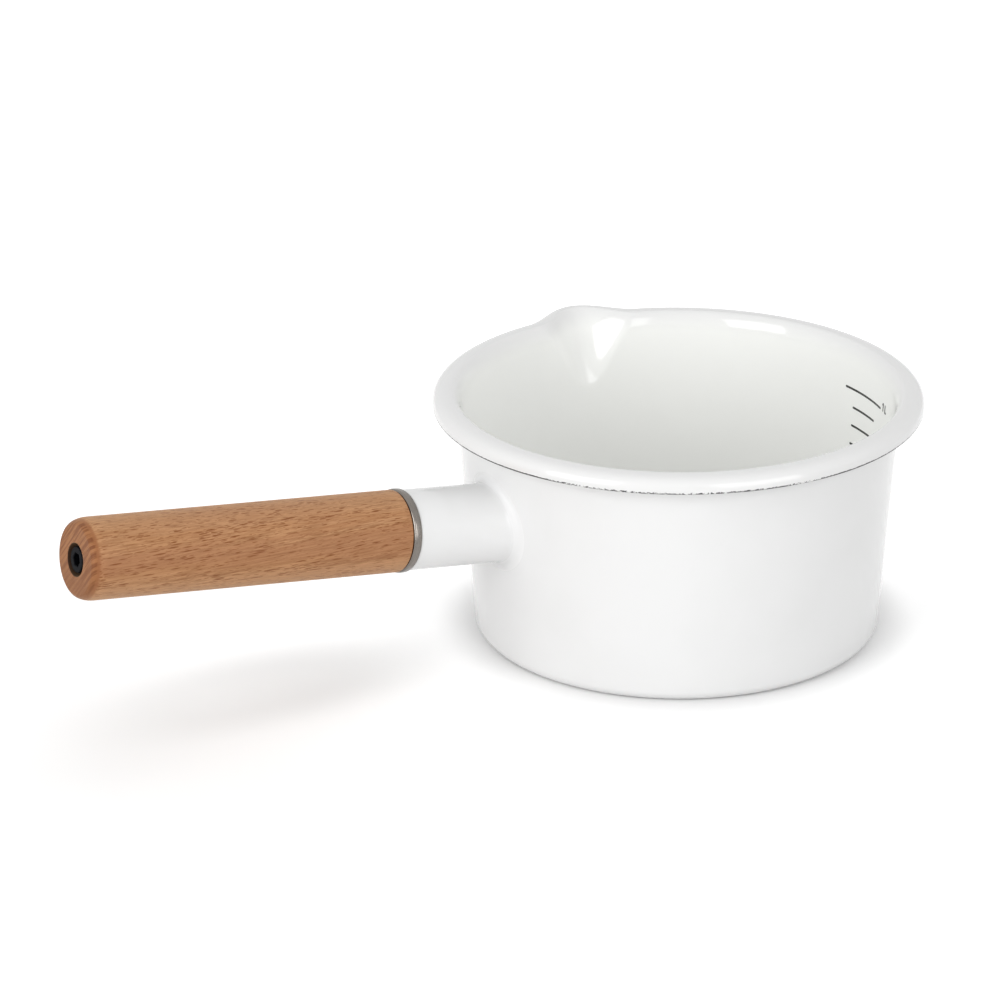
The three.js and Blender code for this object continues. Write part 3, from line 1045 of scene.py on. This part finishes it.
def floor():
    """A pale floor, a little darker in the light that it throws back on the pan."""
    size = FLOOR_HALF_SIZE
    corners = [(-size, -size, 0), (size, -size, 0), (size, size, 0), (-size, size, 0)]
    mesh = bpy.data.meshes.new("floor")
    mesh.from_pydata(corners, [], [(0, 1, 2, 3)])
    plane = bpy.data.objects.new("floor", mesh)
    plane.location.z = -FLOOR_GAP
    bpy.context.scene.collection.objects.link(plane)
    s = new_material("white_floor")
    seen = seen_as_background(s)
    colour = s.mix(seen, [FLOOR_BOUNCE] * 3 + [1], [FLOOR_SEEN] * 3 + [1])
    matt = s.node("ShaderNodeBsdfDiffuse", Color=colour)
    lift = s.node("ShaderNodeEmission", Strength=s.maths("MULTIPLY", seen, floor_lift(s)))
    both = s.feed_all(s.node("ShaderNodeAddShader"), (matt.outputs[0], lift.outputs[0]))
    mesh.materials.append(s.show(both))


def surroundings():
    """An even world, dimmer in its light than it is seen."""
    s = Shader(bpy.data.worlds.new("studio"), "ShaderNodeOutputWorld")
    dim = s.node("ShaderNodeBackground", Color=WHITE, Strength=AMBIENT)
    bright = s.node("ShaderNodeBackground", Color=WHITE, Strength=1.0)
    choices = (seen_as_background(s), dim.outputs[0], bright.outputs[0])
    bpy.context.scene.world = s.show(s.feed_all(s.node("ShaderNodeMixShader"), choices))


def softbox(name, azimuth, elevation, width, height, radiance, mirrored=True):
    """A soft rectangular light facing the pan, at an azimuth from the photograph's camera."""
    lamp = bpy.data.lights.new(name, "AREA")
    lamp.shape = "RECTANGLE"
    lamp.size, lamp.size_y = width, height
    lamp.energy = radiance * math.pi * width * height
    holder = bpy.data.objects.new(name, lamp)
    a, e = math.radians(PHOTO_AZIMUTH + azimuth), math.radians(elevation)
    back = Vector((math.cos(a) * math.cos(e), math.sin(a) * math.cos(e), math.sin(e)))
    holder.location = PAN_MIDDLE + back * SOFTBOX_DISTANCE
    holder.rotation_euler = back.to_track_quat("Z", "Y").to_euler()
    holder.visible_camera = False
    holder.visible_glossy = mirrored
    bpy.context.scene.collection.objects.link(holder)


def photo_camera():
    fit = Matrix.Rotation(math.radians(PHOTO_TURN), 3, "Z")
    yaw, pitch, roll = CAMERA_YAW, CAMERA_PITCH, CAMERA_ROLL
    level_ahead = Vector((math.sin(yaw), math.cos(yaw), 0))
    ahead = level_ahead * math.cos(pitch) - Vector((0, 0, math.sin(pitch)))
    level = Vector((math.cos(yaw), -math.sin(yaw), 0))
    upward = level.cross(ahead)
    right = level * math.cos(roll) + upward * math.sin(roll)
    up = upward * math.cos(roll) - level * math.sin(roll)
    axes = Matrix((fit @ right, fit @ up, fit @ -ahead)).transposed()
    place = fit @ Vector((0, -CAMERA_BACK, CAMERA_UP)) * MM
    camera = bpy.data.cameras.new("photo_camera")
    camera.sensor_width = CAMERA_SENSOR
    camera.lens = CAMERA_LENS
    camera.clip_start, camera.clip_end = CAMERA_CLIP
    holder = bpy.data.objects.new("photo_camera", camera)
    holder.matrix_world = Matrix.Translation(place) @ axes.to_4x4()
    bpy.context.scene.collection.objects.link(holder)
    bpy.context.scene.camera = holder


# The dressed part: piece, material, body, and the node and slot that it stands for.

plate_steel = turned_steel("zinc_plated_steel", ZINC_PLATE, roughness=0.42)
ring_steel = turned_steel("turned_stainless", STAINLESS, roughness=0.2)
washer_steel = turned_steel("zinc_plated_washer", ZINC_WASHER, roughness=0.38)
dressed = [
    (pan_shell(), shell_enamel(), "pan", "pan_body", "enamel"),
    (handle_stem(), stem_enamel(), "pan", "handle_stem", "enamel"),
    (threaded_plate(), plate_steel, "pan", "threaded_plate", "plain_steel"),
    (steel_ring(), ring_steel, "pan", "steel_ring", "stainless"),
    (wood_grip(), beech(), "pan", "wood_grip", "beech"),
    (screw_washer(), washer_steel, "washer", "screw_washer", "plain_steel"),
    (clamp_screw(), black_oxide(), "screw", "clamp_screw", "black_steel"),
    (litre_marks(), printed_ink(), "pan", None, None),
]
for piece, material, body, node, slot in dressed:
    piece.data.materials.append(material)
    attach(piece, body)
    if node:
        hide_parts(node)

floor()
surroundings()
softbox("softbox_left", -43, 18, 0.76, 0.85, radiance=3.85)
softbox("softbox_right", 36.6, 18, 0.91, 0.85, radiance=2.6)
softbox("softbox_above", 0, 89, 0.8, 0.8, radiance=0.8, mirrored=False)
softbox("fill_left", -112, 32, 0.9, 0.9, radiance=0.6, mirrored=False)
softbox("fill_back", 140, 35, 0.9, 0.9, radiance=0.75, mirrored=False)
photo_camera()

view = bpy.context.scene.view_settings
view.view_transform = "Standard"
